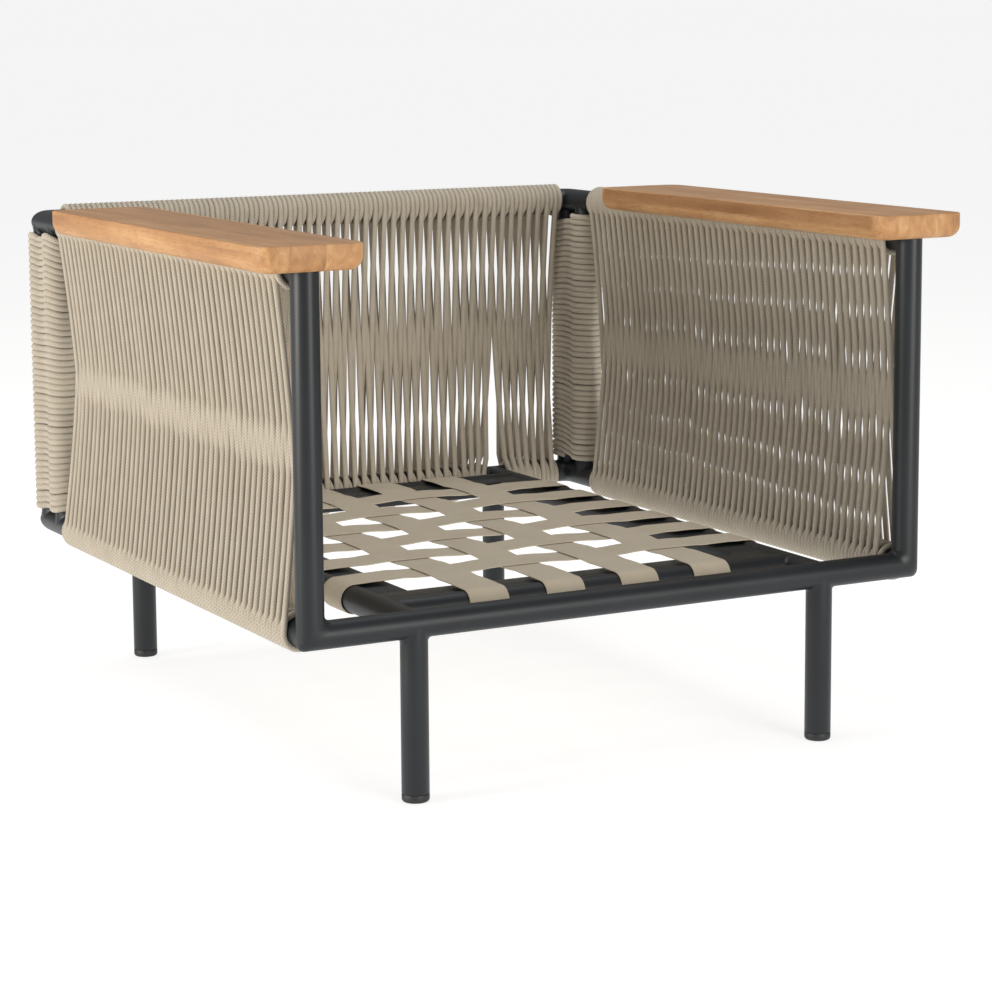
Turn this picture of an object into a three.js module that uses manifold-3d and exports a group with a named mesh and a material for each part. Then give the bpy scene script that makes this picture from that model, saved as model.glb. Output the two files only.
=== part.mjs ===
// Outdoor lounge armchair: a welded round-tube frame, rope-wound sides, back and rear corners,
// two wooden armrests and a woven webbing seat. Cushions are not part of it.
// Millimetres, +Z up. The front faces -Y. Left and right in the names are as seen by someone
// facing the chair, so left is -X. The origin is on the floor, under the middle of the chair.
import * as THREE from 'three';
import { mergeVertices } from 'three/addons/utils/BufferGeometryUtils.js';
import Module from 'manifold-3d';

const wasm = await Module();
wasm.setup();

// Driving dimensions
const FRAME_WIDTH = 752; // between the centre lines of the left and right posts
const FRAME_DEPTH = 780; // from the front posts' centre lines to the back rails'
const LOW_Z = 191; // centre line of the lower rails
const HIGH_Z = 568; // centre line of the upper rails
const TUBE_R = 15; // every frame tube is 30 mm across
const WALL = 2; // of the tubes and the seat flanges
const GAP = 0.3; // clearance between pieces that touch
const CORNER_ROUNDING = 10; // outer edge of a mitred corner, ground round

const LEG_INSET = 119; // leg centre line in from the post's
const GLIDE_HEIGHT = 9; // the part of a glide that shows under the leg
const GLIDE_SPIGOT = 16; // the part pushed up into the leg
const GLIDE_EASE = 3; // rounding at the foot

const UPRIGHT_STEP = 51; // second rear upright, ahead of the corner post
const ROPE = 7; // rope diameter
const ROPE_R = TUBE_R + ROPE; // outside of the rope where it rings a tube
const WAIST = 4.5; // half thickness of a rope wall where its two layers cross
const WAIST_HALF_HEIGHT = 22;
const SIDE_ROPE_FRONT = 15.6; // first ring behind the front post's centre line
const SIDE_ROPE_REAR = 83; // last ring ahead of the back rail's centre line
const BACK_ROPE_END = 15.6; // last ring in from the corner post's centre line

const SEAT_INSET = 60; // seat cross tubes in from the front and back rails
const FLANGE_REACH = 47; // seat flange, from its tube's centre line to its inner edge
const FLANGE_TOP = 12; // above the tube's centre line
const FLANGE_BOTTOM = -6;
const STRAP_WIDTH = 48;
const STRAP_THICK = 1.5;
const STRAP_SLACK = 0.8; // between a strap and the tube it turns round
const STRAP_TURN = 205; // degrees round the tube, then straight on up under the flange
const STRAP_TAIL = 14;
const LONG_STRAPS = [-142.5, -47.5, 47.5, 142.5]; // centre lines, across the chair
const CROSS_STRAPS = [-221.5, -133, -44.5, 44.5, 133, 221.5]; // centre lines, front to back

const ARM_TOP = 596;
const ARM_THICK = 28;
const ARM_HALF_WIDTH = 60;
const ARM_FRONT = 28; // ahead of the front post's centre line
const ARM_REAR = 598; // behind it
const ARM_CORNER_R = 20;
const ARM_TOP_EASE = 2;
const ARM_BOTTOM_EASE = 14;
const ARM_CLEAR = 0.6; // between the channel under an armrest and what lies in it
const SCREW_STEPS = [8, 290, 550]; // armrest screws, behind the front post's centre line
const SCREW_HEAD_R = 4.6;
const SCREW_SHANK_R = 2.2;
const SCREW_HEAD = 2; // height of the head's straight side
const SCREW_UNDER = 0.8; // height of the cone under the head
const SCREW_HOLE_R = 2.5; // in the wood
const RAIL_HOLE_R = 2.8; // in the rail's upper wall
const DRIVER_HOLE_R = 5.5; // in its lower wall, to pass the head
const ROPE_HOLE_R = 3.2;

const HALF = FRAME_WIDTH / 2;
const FRONT_Y = -FRAME_DEPTH / 2;
const BACK_Y = FRAME_DEPTH / 2;
const LEG_X = HALF - LEG_INSET;
const TUBE_SIDES = 20;
const OVER = 5; // how far a cutting shape runs past what it cuts
const SIDES = [{ name: 'left', sign: -1 }, { name: 'right', sign: 1 }];

const paint = new THREE.MeshStandardMaterial({ color: 0x34393d, roughness: 0.5, metalness: 0.4 });
const teak = new THREE.MeshStandardMaterial({ color: 0xc08a56, roughness: 0.6, metalness: 0 });
const rope = new THREE.MeshStandardMaterial({ color: 0xb7a88f, roughness: 0.9, metalness: 0 });
const webbing = new THREE.MeshStandardMaterial({ color: 0xaa9f8a, roughness: 0.9, metalness: 0 });
const plastic = new THREE.MeshStandardMaterial({ color: 0x26292b, roughness: 0.6, metalness: 0 });
const steel = new THREE.MeshStandardMaterial({ color: 0x9a9c9e, roughness: 0.35, metalness: 1 });

const chair = new THREE.Group();
const point = (x, y, z) => new THREE.Vector3(x, y, z);

// ---- solids: three.js shapes made ready to join and cut ----

function toSolid(geometry) {
  const bare = geometry.clone();
  bare.deleteAttribute('normal');
  bare.deleteAttribute('uv');
  const merged = mergeVertices(bare, 1e-4);
  return new wasm.Manifold(new wasm.Mesh({
    numProp: 3,
    vertProperties: new Float32Array(merged.attributes.position.array),
    triVerts: new Uint32Array(merged.index.array),
  }));
}

function addPiece(name, solid, material) {
  const { vertProperties, triVerts } = solid.getMesh();
  const geometry = new THREE.BufferGeometry();
  geometry.setAttribute('position', new THREE.BufferAttribute(vertProperties, 3));
  geometry.setIndex(new THREE.BufferAttribute(triVerts, 1));
  geometry.computeVertexNormals();
  const mesh = new THREE.Mesh(geometry, material);
  mesh.name = name;
  chair.add(mesh);
}

function rod(from, to, radius) {
  const along = to.clone().sub(from);
  const geometry = new THREE.CylinderGeometry(radius, radius, along.length(), TUBE_SIDES);
  const turn = new THREE.Quaternion().setFromUnitVectors(point(0, 1, 0), along.clone().normalize());
  geometry.applyQuaternion(turn);
  const middle = from.clone().add(to).multiplyScalar(0.5);
  geometry.translate(middle.x, middle.y, middle.z);
  return toSolid(geometry);
}

function block(low, high) {
  const geometry = new THREE.BoxGeometry(high.x - low.x, high.y - low.y, high.z - low.z);
  geometry.translate((low.x + high.x) / 2, (low.y + high.y) / 2, (low.z + high.z) / 2);
  return toSolid(geometry);
}

// An outline in the plane across a rail, extruded along it. alongX runs it along X with the
// outline's x read as Y; otherwise it runs along Y with the outline's x read as X.
function extrude(shape, start, end, alongX, curveSegments = 1) {
  const geometry = new THREE.ExtrudeGeometry(shape, {
    depth: end - start, bevelEnabled: false, curveSegments,
  });
  geometry.translate(0, 0, start);
  if (alongX) {
    geometry.rotateX(Math.PI / 2);
    geometry.rotateZ(Math.PI / 2);
  } else {
    geometry.rotateX(Math.PI / 2);
    geometry.scale(1, -1, 1);
    flipFaces(geometry);
  }
  return toSolid(geometry);
}

function flipFaces(geometry) {
  const place = geometry.attributes.position;
  const first = new THREE.Vector3();
  const second = new THREE.Vector3();
  for (let i = 0; i < place.count; i += 3) {
    first.fromBufferAttribute(place, i + 1);
    second.fromBufferAttribute(place, i + 2);
    place.setXYZ(i + 1, second.x, second.y, second.z);
    place.setXYZ(i + 2, first.x, first.y, first.z);
  }
}

// Everything past a plane through a corner, less half the clearance.
function past(corner, normal) {
  const reach = 120;
  const geometry = new THREE.BoxGeometry(reach, reach, reach);
  geometry.translate(0, 0, (reach - GAP) / 2);
  const turn = new THREE.Quaternion().setFromUnitVectors(point(0, 0, 1), normal.clone().normalize());
  geometry.applyQuaternion(turn);
  geometry.translate(corner.x, corner.y, corner.z);
  return toSolid(geometry);
}

// What grinding takes off the outer edge of a corner. out points from the corner's centre to
// its outer edge along two axes, and edge is the axis that the edge runs along.
function cornerGrinding(corner, out, edge) {
  const inner = corner.clone().addScaledVector(out, TUBE_R - CORNER_ROUNDING);
  const outer = corner.clone().addScaledVector(out, TUBE_R + OVER);
  const low = inner.clone().min(outer).addScaledVector(edge, -TUBE_R - OVER);
  const high = inner.clone().max(outer).addScaledVector(edge, TUBE_R + OVER);
  const from = inner.clone().addScaledVector(edge, -TUBE_R - 2 * OVER);
  const to = inner.clone().addScaledVector(edge, TUBE_R + 2 * OVER);
  return block(low, high).subtract(rod(from, to, CORNER_ROUNDING));
}

// ---- frame: mitred rings and posts, with the other tubes coped onto them ----

function tube(from, to) {
  const along = to.clone().sub(from).normalize().multiplyScalar(OVER);
  const bore = rod(from.clone().sub(along), to.clone().add(along), TUBE_R - WALL);
  return rod(from, to, TUBE_R).subtract(bore);
}

function mitred(solid, corner, towards, others) {
  let cut = solid;
  for (const other of others) cut = cut.subtract(past(corner, other.clone().sub(towards)));
  return cut;
}

const spare = TUBE_R + 1; // tubes are made this much too long before they are mitred
const UP = point(0, 0, 1);
const REARWARD = point(0, 1, 0);
const SIDEWAYS = point(1, 0, 0);

let frontRail = tube(point(-HALF - spare, FRONT_Y, LOW_Z), point(HALF + spare, FRONT_Y, LOW_Z));
let backLowRail = tube(point(-HALF - spare, BACK_Y, LOW_Z), point(HALF + spare, BACK_Y, LOW_Z));
let backHighRail = tube(point(-HALF - spare, BACK_Y, HIGH_Z), point(HALF + spare, BACK_Y, HIGH_Z));

for (const { name, sign } of SIDES) {
  const x = sign * HALF;
  const inward = point(-sign, 0, 0);
  const outward = point(sign, 0, 0);
  const frontLow = point(x, FRONT_Y, LOW_Z);
  const frontHigh = point(x, FRONT_Y, HIGH_Z);
  const backLow = point(x, BACK_Y, LOW_Z);
  const backHigh = point(x, BACK_Y, HIGH_Z);
  const frontGrinding = cornerGrinding(frontLow, outward.clone().sub(UP), REARWARD);
  const rearEdge = outward.clone().add(REARWARD);
  const lowGrinding = cornerGrinding(backLow, rearEdge, UP);
  const highGrinding = cornerGrinding(backHigh, rearEdge, UP);
  const armGrinding = cornerGrinding(frontHigh, UP.clone().sub(REARWARD), SIDEWAYS);

  let post = tube(frontLow.clone().addScaledVector(UP, -spare),
    frontHigh.clone().addScaledVector(UP, spare));
  post = mitred(post, frontLow, UP, [inward]).subtract(frontGrinding);
  post = mitred(post, frontHigh, UP.clone().negate(), [REARWARD]).subtract(armGrinding);
  addPiece(`front_${name}_post`, post, paint);
  frontRail = mitred(frontRail, frontLow, inward, [UP]).subtract(frontGrinding);

  let lowRail = tube(frontLow, backLow.clone().addScaledVector(REARWARD, spare));
  const frontCorner = rod(frontLow.clone().addScaledVector(UP, -spare), frontHigh, TUBE_R + GAP)
    .add(rod(frontLow.clone().addScaledVector(outward, spare), point(0, FRONT_Y, LOW_Z), TUBE_R + GAP));
  lowRail = lowRail.subtract(frontCorner);
  lowRail = mitred(lowRail, backLow, REARWARD.clone().negate(), [inward]).subtract(lowGrinding);
  addPiece(`${name}_lower_rail`, lowRail, paint);
  backLowRail = mitred(backLowRail, backLow, inward, [REARWARD.clone().negate()]).subtract(lowGrinding);

  let highRail = tube(frontHigh.clone().addScaledVector(REARWARD, -spare),
    backHigh.clone().addScaledVector(REARWARD, spare));
  highRail = mitred(highRail, frontHigh, REARWARD, [UP.clone().negate()]).subtract(armGrinding);
  highRail = mitred(highRail, backHigh, REARWARD.clone().negate(), [inward]).subtract(highGrinding);
  backHighRail = mitred(backHighRail, backHigh, inward, [REARWARD.clone().negate()])
    .subtract(highGrinding);

  // Screw holes through the upper wall of the rail, and wider ones below to pass the head.
  for (const step of SCREW_STEPS) {
    const centre = point(x, FRONT_Y + step, HIGH_Z);
    const above = centre.clone().addScaledVector(UP, TUBE_R + OVER);
    highRail = highRail.subtract(rod(centre, above, RAIL_HOLE_R));
    if (step > TUBE_R + OVER) {
      const below = centre.clone().addScaledVector(UP, -TUBE_R - OVER);
      highRail = highRail.subtract(rod(centre, below, DRIVER_HOLE_R));
    }
  }
  addPiece(`${name}_upper_rail`, highRail, paint);

  // Corner post and second upright, coped between the rails they stand on and carry.
  const railsAt = (y) => {
    const reach = TUBE_R + OVER;
    return [LOW_Z, HIGH_Z].map((z) => rod(point(x, y - reach, z), point(x, y + reach, z), TUBE_R + GAP)
      .add(rod(point(x - reach, BACK_Y, z), point(x + reach, BACK_Y, z), TUBE_R + GAP)));
  };
  const [lowCope, highCope] = railsAt(BACK_Y);
  const cornerPost = tube(backLow, backHigh).subtract(lowCope).subtract(highCope);
  addPiece(`rear_${name}_corner_post`, cornerPost, paint);
  const uprightY = BACK_Y - UPRIGHT_STEP;
  const [lowSaddle, highSaddle] = railsAt(uprightY);
  const upright = tube(point(x, uprightY, LOW_Z), point(x, uprightY, HIGH_Z))
    .subtract(lowSaddle).subtract(highSaddle);
  addPiece(`rear_${name}_upright`, upright, paint);
}
addPiece('front_rail', frontRail, paint);
addPiece('back_lower_rail', backLowRail, paint);
addPiece('back_upper_rail', backHighRail, paint);

// ---- legs and their plastic glides ----

function glide(x, y) {
  const spigot = TUBE_R - WALL - GAP;
  const top = GLIDE_HEIGHT + GLIDE_SPIGOT;
  const outline = [
    [0, 0], [TUBE_R - GLIDE_EASE, 0], [TUBE_R - GLIDE_EASE * 0.3, GLIDE_EASE * 0.3],
    [TUBE_R, GLIDE_EASE], [TUBE_R, GLIDE_HEIGHT], [spigot, GLIDE_HEIGHT], [spigot, top], [0, top],
  ];
  const geometry = new THREE.LatheGeometry(outline.map(([r, z]) => new THREE.Vector2(r, z)), TUBE_SIDES);
  geometry.rotateX(Math.PI / 2);
  geometry.translate(x, y, 0);
  return toSolid(geometry);
}

for (const [end, y] of [['front', FRONT_Y], ['rear', BACK_Y]]) {
  for (const { name, sign } of SIDES) {
    const x = sign * LEG_X;
    const rail = rod(point(x - ROPE_R, y, LOW_Z), point(x + ROPE_R, y, LOW_Z), TUBE_R + GAP);
    const leg = tube(point(x, y, GLIDE_HEIGHT + GAP), point(x, y, LOW_Z)).subtract(rail);
    addPiece(`${end}_${name}_leg`, leg, paint);
    addPiece(`${end}_${name}_glide`, glide(x, y), plastic);
  }
}

// ---- seat frame: two long tubes from front rail to back rail, two cross tubes between them,
// each with a flat box-section flange on its inner side ----

const seatFront = FRONT_Y + SEAT_INSET;
const seatRear = BACK_Y - SEAT_INSET;

function flange(low, high) {
  const wall = point(WALL, WALL, WALL);
  const long = high.clone().sub(low);
  if (long.x > long.y) wall.x = -OVER;
  else wall.y = -OVER;
  return { outer: block(low, high), bore: block(low.clone().add(wall), high.clone().sub(wall)) };
}

const flangeTop = LOW_Z + FLANGE_TOP;
const flangeBottom = LOW_Z + FLANGE_BOTTOM;
const seatSideTubes = SIDES.map(({ sign }) => rod(point(sign * LEG_X, FRONT_Y, LOW_Z),
  point(sign * LEG_X, BACK_Y, LOW_Z), TUBE_R + GAP));

for (const { name, sign } of SIDES) {
  const x = sign * LEG_X;
  const inner = sign * (LEG_X - FLANGE_REACH);
  const part = flange(
    point(Math.min(x, inner), seatFront + FLANGE_REACH + GAP, flangeBottom),
    point(Math.max(x, inner), seatRear - FLANGE_REACH - GAP, flangeTop),
  );
  const from = point(x, FRONT_Y, LOW_Z);
  const to = point(x, BACK_Y, LOW_Z);
  let rail = rod(from, to, TUBE_R).add(part.outer).subtract(part.bore);
  rail = rail.subtract(rod(from, to, TUBE_R - WALL));
  for (const y of [FRONT_Y, BACK_Y]) {
    rail = rail.subtract(rod(point(x - ROPE_R, y, LOW_Z), point(x + ROPE_R, y, LOW_Z), TUBE_R + GAP));
    rail = rail.subtract(rod(point(x, y, LOW_Z / 2), point(x, y, LOW_Z), TUBE_R + GAP));
  }
  addPiece(`seat_${name}_rail`, rail, paint);
}

for (const [name, y, inner] of [
  ['front', seatFront, seatFront + FLANGE_REACH], ['rear', seatRear, seatRear - FLANGE_REACH],
]) {
  const part = flange(
    point(-LEG_X, Math.min(y, inner), flangeBottom),
    point(LEG_X, Math.max(y, inner), flangeTop),
  );
  const from = point(-LEG_X, y, LOW_Z);
  const to = point(LEG_X, y, LOW_Z);
  let rail = rod(from, to, TUBE_R).add(part.outer).subtract(part.bore);
  rail = rail.subtract(rod(from, to, TUBE_R - WALL));
  for (const side of seatSideTubes) rail = rail.subtract(side);
  addPiece(`seat_${name}_rail`, rail, paint);
}

// ---- seat webbing: each strap lies across two tubes and turns under them ----

const STRAP_CURVE = 7; // flats round a strap's turn

// A strap's section: flat between the two tubes, round the outside of each and tangent up
// towards the flange's underside, where it is fixed.
function strapOutline(span, lift) {
  const inside = TUBE_R + STRAP_SLACK + lift;
  const outside = inside + STRAP_THICK;
  const top = Math.PI / 2;
  const wrap = THREE.MathUtils.degToRad(STRAP_TURN);
  const tail = STRAP_TAIL - lift;
  const end = (radius) => {
    const u = radius * Math.cos(top + wrap) - tail * Math.sin(top + wrap);
    const z = radius * Math.sin(top + wrap) + tail * Math.cos(top + wrap);
    return [u, LOW_Z + z];
  };
  const [innerU, innerZ] = end(inside);
  const [outerU, outerZ] = end(outside);
  const shape = new THREE.Shape();
  shape.absarc(-span, LOW_Z, outside, top, top + wrap, false);
  shape.lineTo(-span + outerU, outerZ);
  shape.lineTo(-span + innerU, innerZ);
  shape.absarc(-span, LOW_Z, inside, top + wrap, top, true);
  shape.absarc(span, LOW_Z, inside, top, top - wrap, true);
  shape.lineTo(span - innerU, innerZ);
  shape.lineTo(span - outerU, outerZ);
  shape.absarc(span, LOW_Z, outside, top - wrap, top, false);
  shape.closePath();
  return shape;
}

LONG_STRAPS.forEach((x, i) => {
  const outline = strapOutline(seatRear, 0);
  const strap = extrude(outline, x - STRAP_WIDTH / 2, x + STRAP_WIDTH / 2, true, STRAP_CURVE);
  addPiece(`long_strap_${i + 1}`, strap, webbing);
});
CROSS_STRAPS.forEach((y, i) => {
  const outline = strapOutline(LEG_X, STRAP_THICK + GAP);
  const strap = extrude(outline, y - STRAP_WIDTH / 2, y + STRAP_WIDTH / 2, false, STRAP_CURVE);
  addPiece(`cross_strap_${i + 1}`, strap, webbing);
});

// ---- rope walls: rings on both rails, and the crossing strands between them ----

// The strands' waisted section about the line u = 0, from one rail's height to the other's.
function waistOutline(centre) {
  const middle = (LOW_Z + HIGH_Z) / 2;
  const right = [
    [ROPE_R, LOW_Z], [WAIST, middle - WAIST_HALF_HEIGHT], [WAIST, middle + WAIST_HALF_HEIGHT],
    [ROPE_R, HIGH_Z],
  ];
  const left = right.map(([u, z]) => [-u, z]).reverse();
  return new THREE.Shape([...right, ...left].map(([u, z]) => new THREE.Vector2(centre + u, z)));
}

function ropeWall(from, to, alongX) {
  const centre = alongX ? from.y : from.x;
  const start = alongX ? from.x : from.y;
  const end = alongX ? to.x : to.y;
  let wall = extrude(waistOutline(centre), start, end, alongX);
  const over = to.clone().sub(from).normalize().multiplyScalar(OVER);
  for (const z of [LOW_Z, HIGH_Z]) {
    const a = from.clone().setZ(z);
    const b = to.clone().setZ(z);
    wall = wall.add(rod(a, b, ROPE_R));
    wall = wall.subtract(rod(a.clone().sub(over), b.clone().add(over), TUBE_R + GAP));
  }
  return wall;
}

for (const { name, sign } of SIDES) {
  const x = sign * HALF;
  let wall = ropeWall(point(x, FRONT_Y + SIDE_ROPE_FRONT, 0), point(x, BACK_Y - SIDE_ROPE_REAR, 0), false);
  for (const step of SCREW_STEPS) {
    const y = FRONT_Y + step;
    wall = wall.subtract(rod(point(x, y, HIGH_Z), point(x, y, ARM_TOP), ROPE_HOLE_R));
  }
  addPiece(`${name}_rope_wall`, wall, rope);

  // Figure-of-eight winding round the corner post and the upright ahead of it.
  const from = LOW_Z + TUBE_R + 2 * GAP;
  const to = HIGH_Z - TUBE_R - 2 * GAP;
  const rear = BACK_Y;
  const front = BACK_Y - UPRIGHT_STEP;
  let winding = block(point(x - WAIST, front, from), point(x + WAIST, rear, to));
  for (const y of [rear, front]) winding = winding.add(rod(point(x, y, from), point(x, y, to), ROPE_R));
  for (const y of [rear, front]) {
    const bore = rod(point(x, y, from - OVER), point(x, y, to + OVER), TUBE_R + GAP);
    winding = winding.subtract(bore);
  }
  addPiece(`rear_${name}_corner_rope`, winding, rope);
}

// The back's winding stops round each rear leg and seat tube, and its ends are drawn in beside the
// corner winding.
const ROPE_CLEAR = 1;
const backEnd = HALF - BACK_ROPE_END;
let backWall = ropeWall(point(-backEnd, BACK_Y, 0), point(backEnd, BACK_Y, 0), true);
for (const { sign } of SIDES) {
  const x = sign * LEG_X;
  const joint = point(x, BACK_Y, LOW_Z);
  backWall = backWall.subtract(rod(point(x, BACK_Y, LOW_Z / 2), joint, TUBE_R + ROPE_CLEAR));
  backWall = backWall.subtract(rod(point(x, seatRear, LOW_Z), joint, TUBE_R + ROPE_CLEAR));
  const corner = point(sign * HALF, BACK_Y, LOW_Z + TUBE_R);
  backWall = backWall.subtract(rod(corner, corner.clone().setZ(HIGH_Z - TUBE_R), ROPE_R + ROPE_CLEAR));
}
addPiece('back_rope_wall', backWall, rope);

// ---- armrests: boards with round corners, channelled underneath to sit down over the rail ----

function boardOutline(inset) {
  const half = ARM_HALF_WIDTH - inset;
  const radius = ARM_CORNER_R - inset;
  const front = FRONT_Y - ARM_FRONT + inset;
  const rear = FRONT_Y + ARM_REAR - inset;
  const quarter = Math.PI / 2;
  const shape = new THREE.Shape();
  shape.absarc(half - radius, front + radius, radius, -quarter, 0, false);
  shape.absarc(half - radius, rear - radius, radius, 0, quarter, false);
  shape.absarc(radius - half, rear - radius, radius, quarter, 2 * quarter, false);
  shape.absarc(radius - half, front + radius, radius, 2 * quarter, 3 * quarter, false);
  shape.closePath();
  return shape.getPoints(4).slice(0, -1);
}

// The board as outlines one above the other, drawn in towards its lower and upper edges.
function armBoard() {
  const bottom = ARM_TOP - ARM_THICK;
  const steps = 3; // flats across the lower edge's rounding
  const rings = [];
  for (let i = 0; i <= steps; i += 1) {
    const a = (i / steps) * (Math.PI / 2);
    rings.push([ARM_BOTTOM_EASE * (1 - Math.sin(a)), bottom + ARM_BOTTOM_EASE * (1 - Math.cos(a))]);
  }
  rings.push([0, ARM_TOP - ARM_TOP_EASE]);
  rings.push([ARM_TOP_EASE, ARM_TOP]);
  return loft(rings.map(([inset, z]) => ({ z, points: boardOutline(inset) })));
}

// A closed solid through outlines of equal point count, one above the other.
function loft(outlines) {
  const count = outlines[0].points.length;
  const positions = outlines.flatMap(({ points, z }) => points.flatMap((p) => [p.x, p.y, z]));
  const faces = [];
  for (let level = 0; level < outlines.length - 1; level += 1) {
    for (let i = 0; i < count; i += 1) {
      const a = level * count + i;
      const b = level * count + ((i + 1) % count);
      faces.push(a, b, b + count, a, b + count, a + count);
    }
  }
  const top = (outlines.length - 1) * count;
  for (let i = 1; i < count - 1; i += 1) {
    faces.push(0, i + 1, i, top, top + i, top + i + 1);
  }
  const geometry = new THREE.BufferGeometry();
  geometry.setAttribute('position', new THREE.Float32BufferAttribute(positions, 3));
  geometry.setIndex(faces);
  return toSolid(geometry);
}

function screw(x, y) {
  const head = HIGH_Z + TUBE_R - WALL - SCREW_HEAD - SCREW_UNDER - 1;
  const tip = ARM_TOP - 3;
  const outline = [
    [0, head], [SCREW_HEAD_R, head], [SCREW_HEAD_R, head + SCREW_HEAD],
    [SCREW_SHANK_R, head + SCREW_HEAD + SCREW_UNDER], [SCREW_SHANK_R, tip - 1.5], [0, tip],
  ];
  const geometry = new THREE.LatheGeometry(outline.map(([r, z]) => new THREE.Vector2(r, z)), 12);
  geometry.rotateX(Math.PI / 2);
  geometry.translate(x, y, 0);
  return toSolid(geometry);
}

for (const { name, sign } of SIDES) {
  const x = sign * HALF;
  const wrapped = FRONT_Y + SIDE_ROPE_FRONT - ARM_CLEAR;
  const rear = FRONT_Y + ARM_REAR + OVER;
  const post = TUBE_R + ARM_CLEAR;
  const corner = point(x, FRONT_Y, HIGH_Z);
  let arm = armBoard().translate([x, 0, 0]);
  arm = arm.subtract(rod(point(x, wrapped, HIGH_Z), point(x, rear, HIGH_Z), ROPE_R + ARM_CLEAR));
  arm = arm.subtract(rod(corner, point(x, wrapped + OVER, HIGH_Z), post));
  arm = arm.subtract(rod(corner.clone().setZ(HIGH_Z - ROPE_R), corner.clone().setZ(HIGH_Z + post), post));
  SCREW_STEPS.forEach((step, i) => {
    const y = FRONT_Y + step;
    arm = arm.subtract(rod(point(x, y, HIGH_Z), point(x, y, ARM_TOP - 2.5), SCREW_HOLE_R));
    addPiece(`${name}_armrest_screw_${i + 1}`, screw(x, y), steel);
  });
  addPiece(`${name}_armrest`, arm, teak);
}

export default chair;
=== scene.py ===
# Outdoor lounge armchair: a powder-coated round-tube frame, rope wound on its sides, back and
# rear corners, two teak armrests and a woven webbing seat. Metres, front towards -Y.
from math import cos, exp, pi, radians, sin, tanh

import bmesh
import bpy
import numpy as np
from mathutils import Matrix, Vector


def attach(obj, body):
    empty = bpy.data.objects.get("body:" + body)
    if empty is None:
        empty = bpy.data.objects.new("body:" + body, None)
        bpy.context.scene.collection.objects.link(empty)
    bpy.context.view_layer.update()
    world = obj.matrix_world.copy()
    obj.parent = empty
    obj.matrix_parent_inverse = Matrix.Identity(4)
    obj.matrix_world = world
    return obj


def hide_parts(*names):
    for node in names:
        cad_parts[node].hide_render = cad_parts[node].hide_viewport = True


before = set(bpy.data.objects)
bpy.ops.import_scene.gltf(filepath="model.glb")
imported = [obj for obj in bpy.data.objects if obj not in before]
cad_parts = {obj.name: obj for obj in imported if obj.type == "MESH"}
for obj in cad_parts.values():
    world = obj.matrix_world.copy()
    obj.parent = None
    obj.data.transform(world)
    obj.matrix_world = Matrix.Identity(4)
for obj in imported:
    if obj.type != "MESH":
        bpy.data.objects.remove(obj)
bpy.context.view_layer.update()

# ---- Camera, light and floor ------------------------------------------------------------------
# A long lens above the armrests, looking down at the chair's front left corner. Three soft lights,
# from the left, the front and above, in a pale room. The room is drawn paler than it lights, so
# that the backdrop stays light behind a chair with shade on it.
CAMERA_PLACE = (-1.5427, -2.9639, 0.8287)
CAMERA_TURN = -28.343  # degrees round the chair
CAMERA_DROP = 8.485  # degrees below the horizon
CAMERA_LEAN = 0.380  # degrees of sideways lean
lens = bpy.data.cameras.new("camera")
lens.sensor_width = 36.0
lens.lens = 101.77
lens.shift_y = -0.07
camera = bpy.data.objects.new("camera", lens)
camera.location = CAMERA_PLACE
camera.rotation_euler = [radians(a) for a in (90.0 - CAMERA_DROP, CAMERA_LEAN, CAMERA_TURN)]
bpy.context.scene.collection.objects.link(camera)
bpy.context.scene.camera = camera


def srgb(code):
    """A linear colour from an sRGB hex code."""
    levels = [int(code[i:i + 2], 16) / 255.0 for i in (0, 2, 4)]
    return [c / 12.92 if c < 0.04045 else ((c + 0.055) / 1.055) ** 2.4 for c in levels] + [1.0]


def add(tree, kind, inputs=None, **settings):
    """Adds a node. A (node, output) pair among the inputs is a link, anything else a value."""
    node = tree.nodes.new("ShaderNode" + kind)
    for key, value in settings.items():
        setattr(node, key, value)
    for key, value in (inputs or {}).items():
        if isinstance(value, tuple) and isinstance(value[0], bpy.types.Node):
            tree.links.new(value[0].outputs[value[1]], node.inputs[key])
        else:
            node.inputs[key].default_value = value
    return node


def new_material(name):
    """An empty material and its node tree, with an output waiting for a surface."""
    material = bpy.data.materials.new(name)
    material.use_nodes = True
    material.node_tree.nodes.clear()
    return material, material.node_tree


LIGHTS_AIM = (0.0, 0.0, 0.35)


def softbox(name, place, size, power, colour):
    """A square soft light aimed at the middle of the chair."""
    data = bpy.data.lights.new(name, "AREA")
    data.shape = "SQUARE"
    data.size = size
    data.energy = power
    data.color = srgb(colour)[:3]
    light = bpy.data.objects.new(name, data)
    light.location = place
    aim = Vector(LIGHTS_AIM) - Vector(place)
    light.rotation_euler = aim.to_track_quat("-Z", "Y").to_euler()
    bpy.context.scene.collection.objects.link(light)


softbox("left_softbox", (-4.2, 0.1, 0.80), 1.5, 120.0, "FFF9F2")
softbox("front_softbox", (1.0, -4.8, 1.3), 2.2, 125.0, "FFFBF6")
softbox("top_softbox", (0.2, 0.5, 4.0), 2.4, 60.0, "FFFFFF")
bpy.context.scene.view_settings.view_transform = "Standard"
world = bpy.data.worlds.new("pale_room")
bpy.context.scene.world = world
world.use_nodes = True
tree = world.node_tree
tree.nodes.clear()
sight = add(tree, "LightPath")
walls = add(tree, "Background", {"Color": srgb("F2F2F2"), "Strength": 0.36})
backdrop = add(tree, "Background", {"Color": srgb("FAFAFA"), "Strength": 0.95})
room = add(tree, "MixShader", {0: (sight, "Is Camera Ray"), 1: (walls, "Background"),
                               2: (backdrop, "Background")})
add(tree, "OutputWorld", {"Surface": (room, "Shader")})

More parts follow.
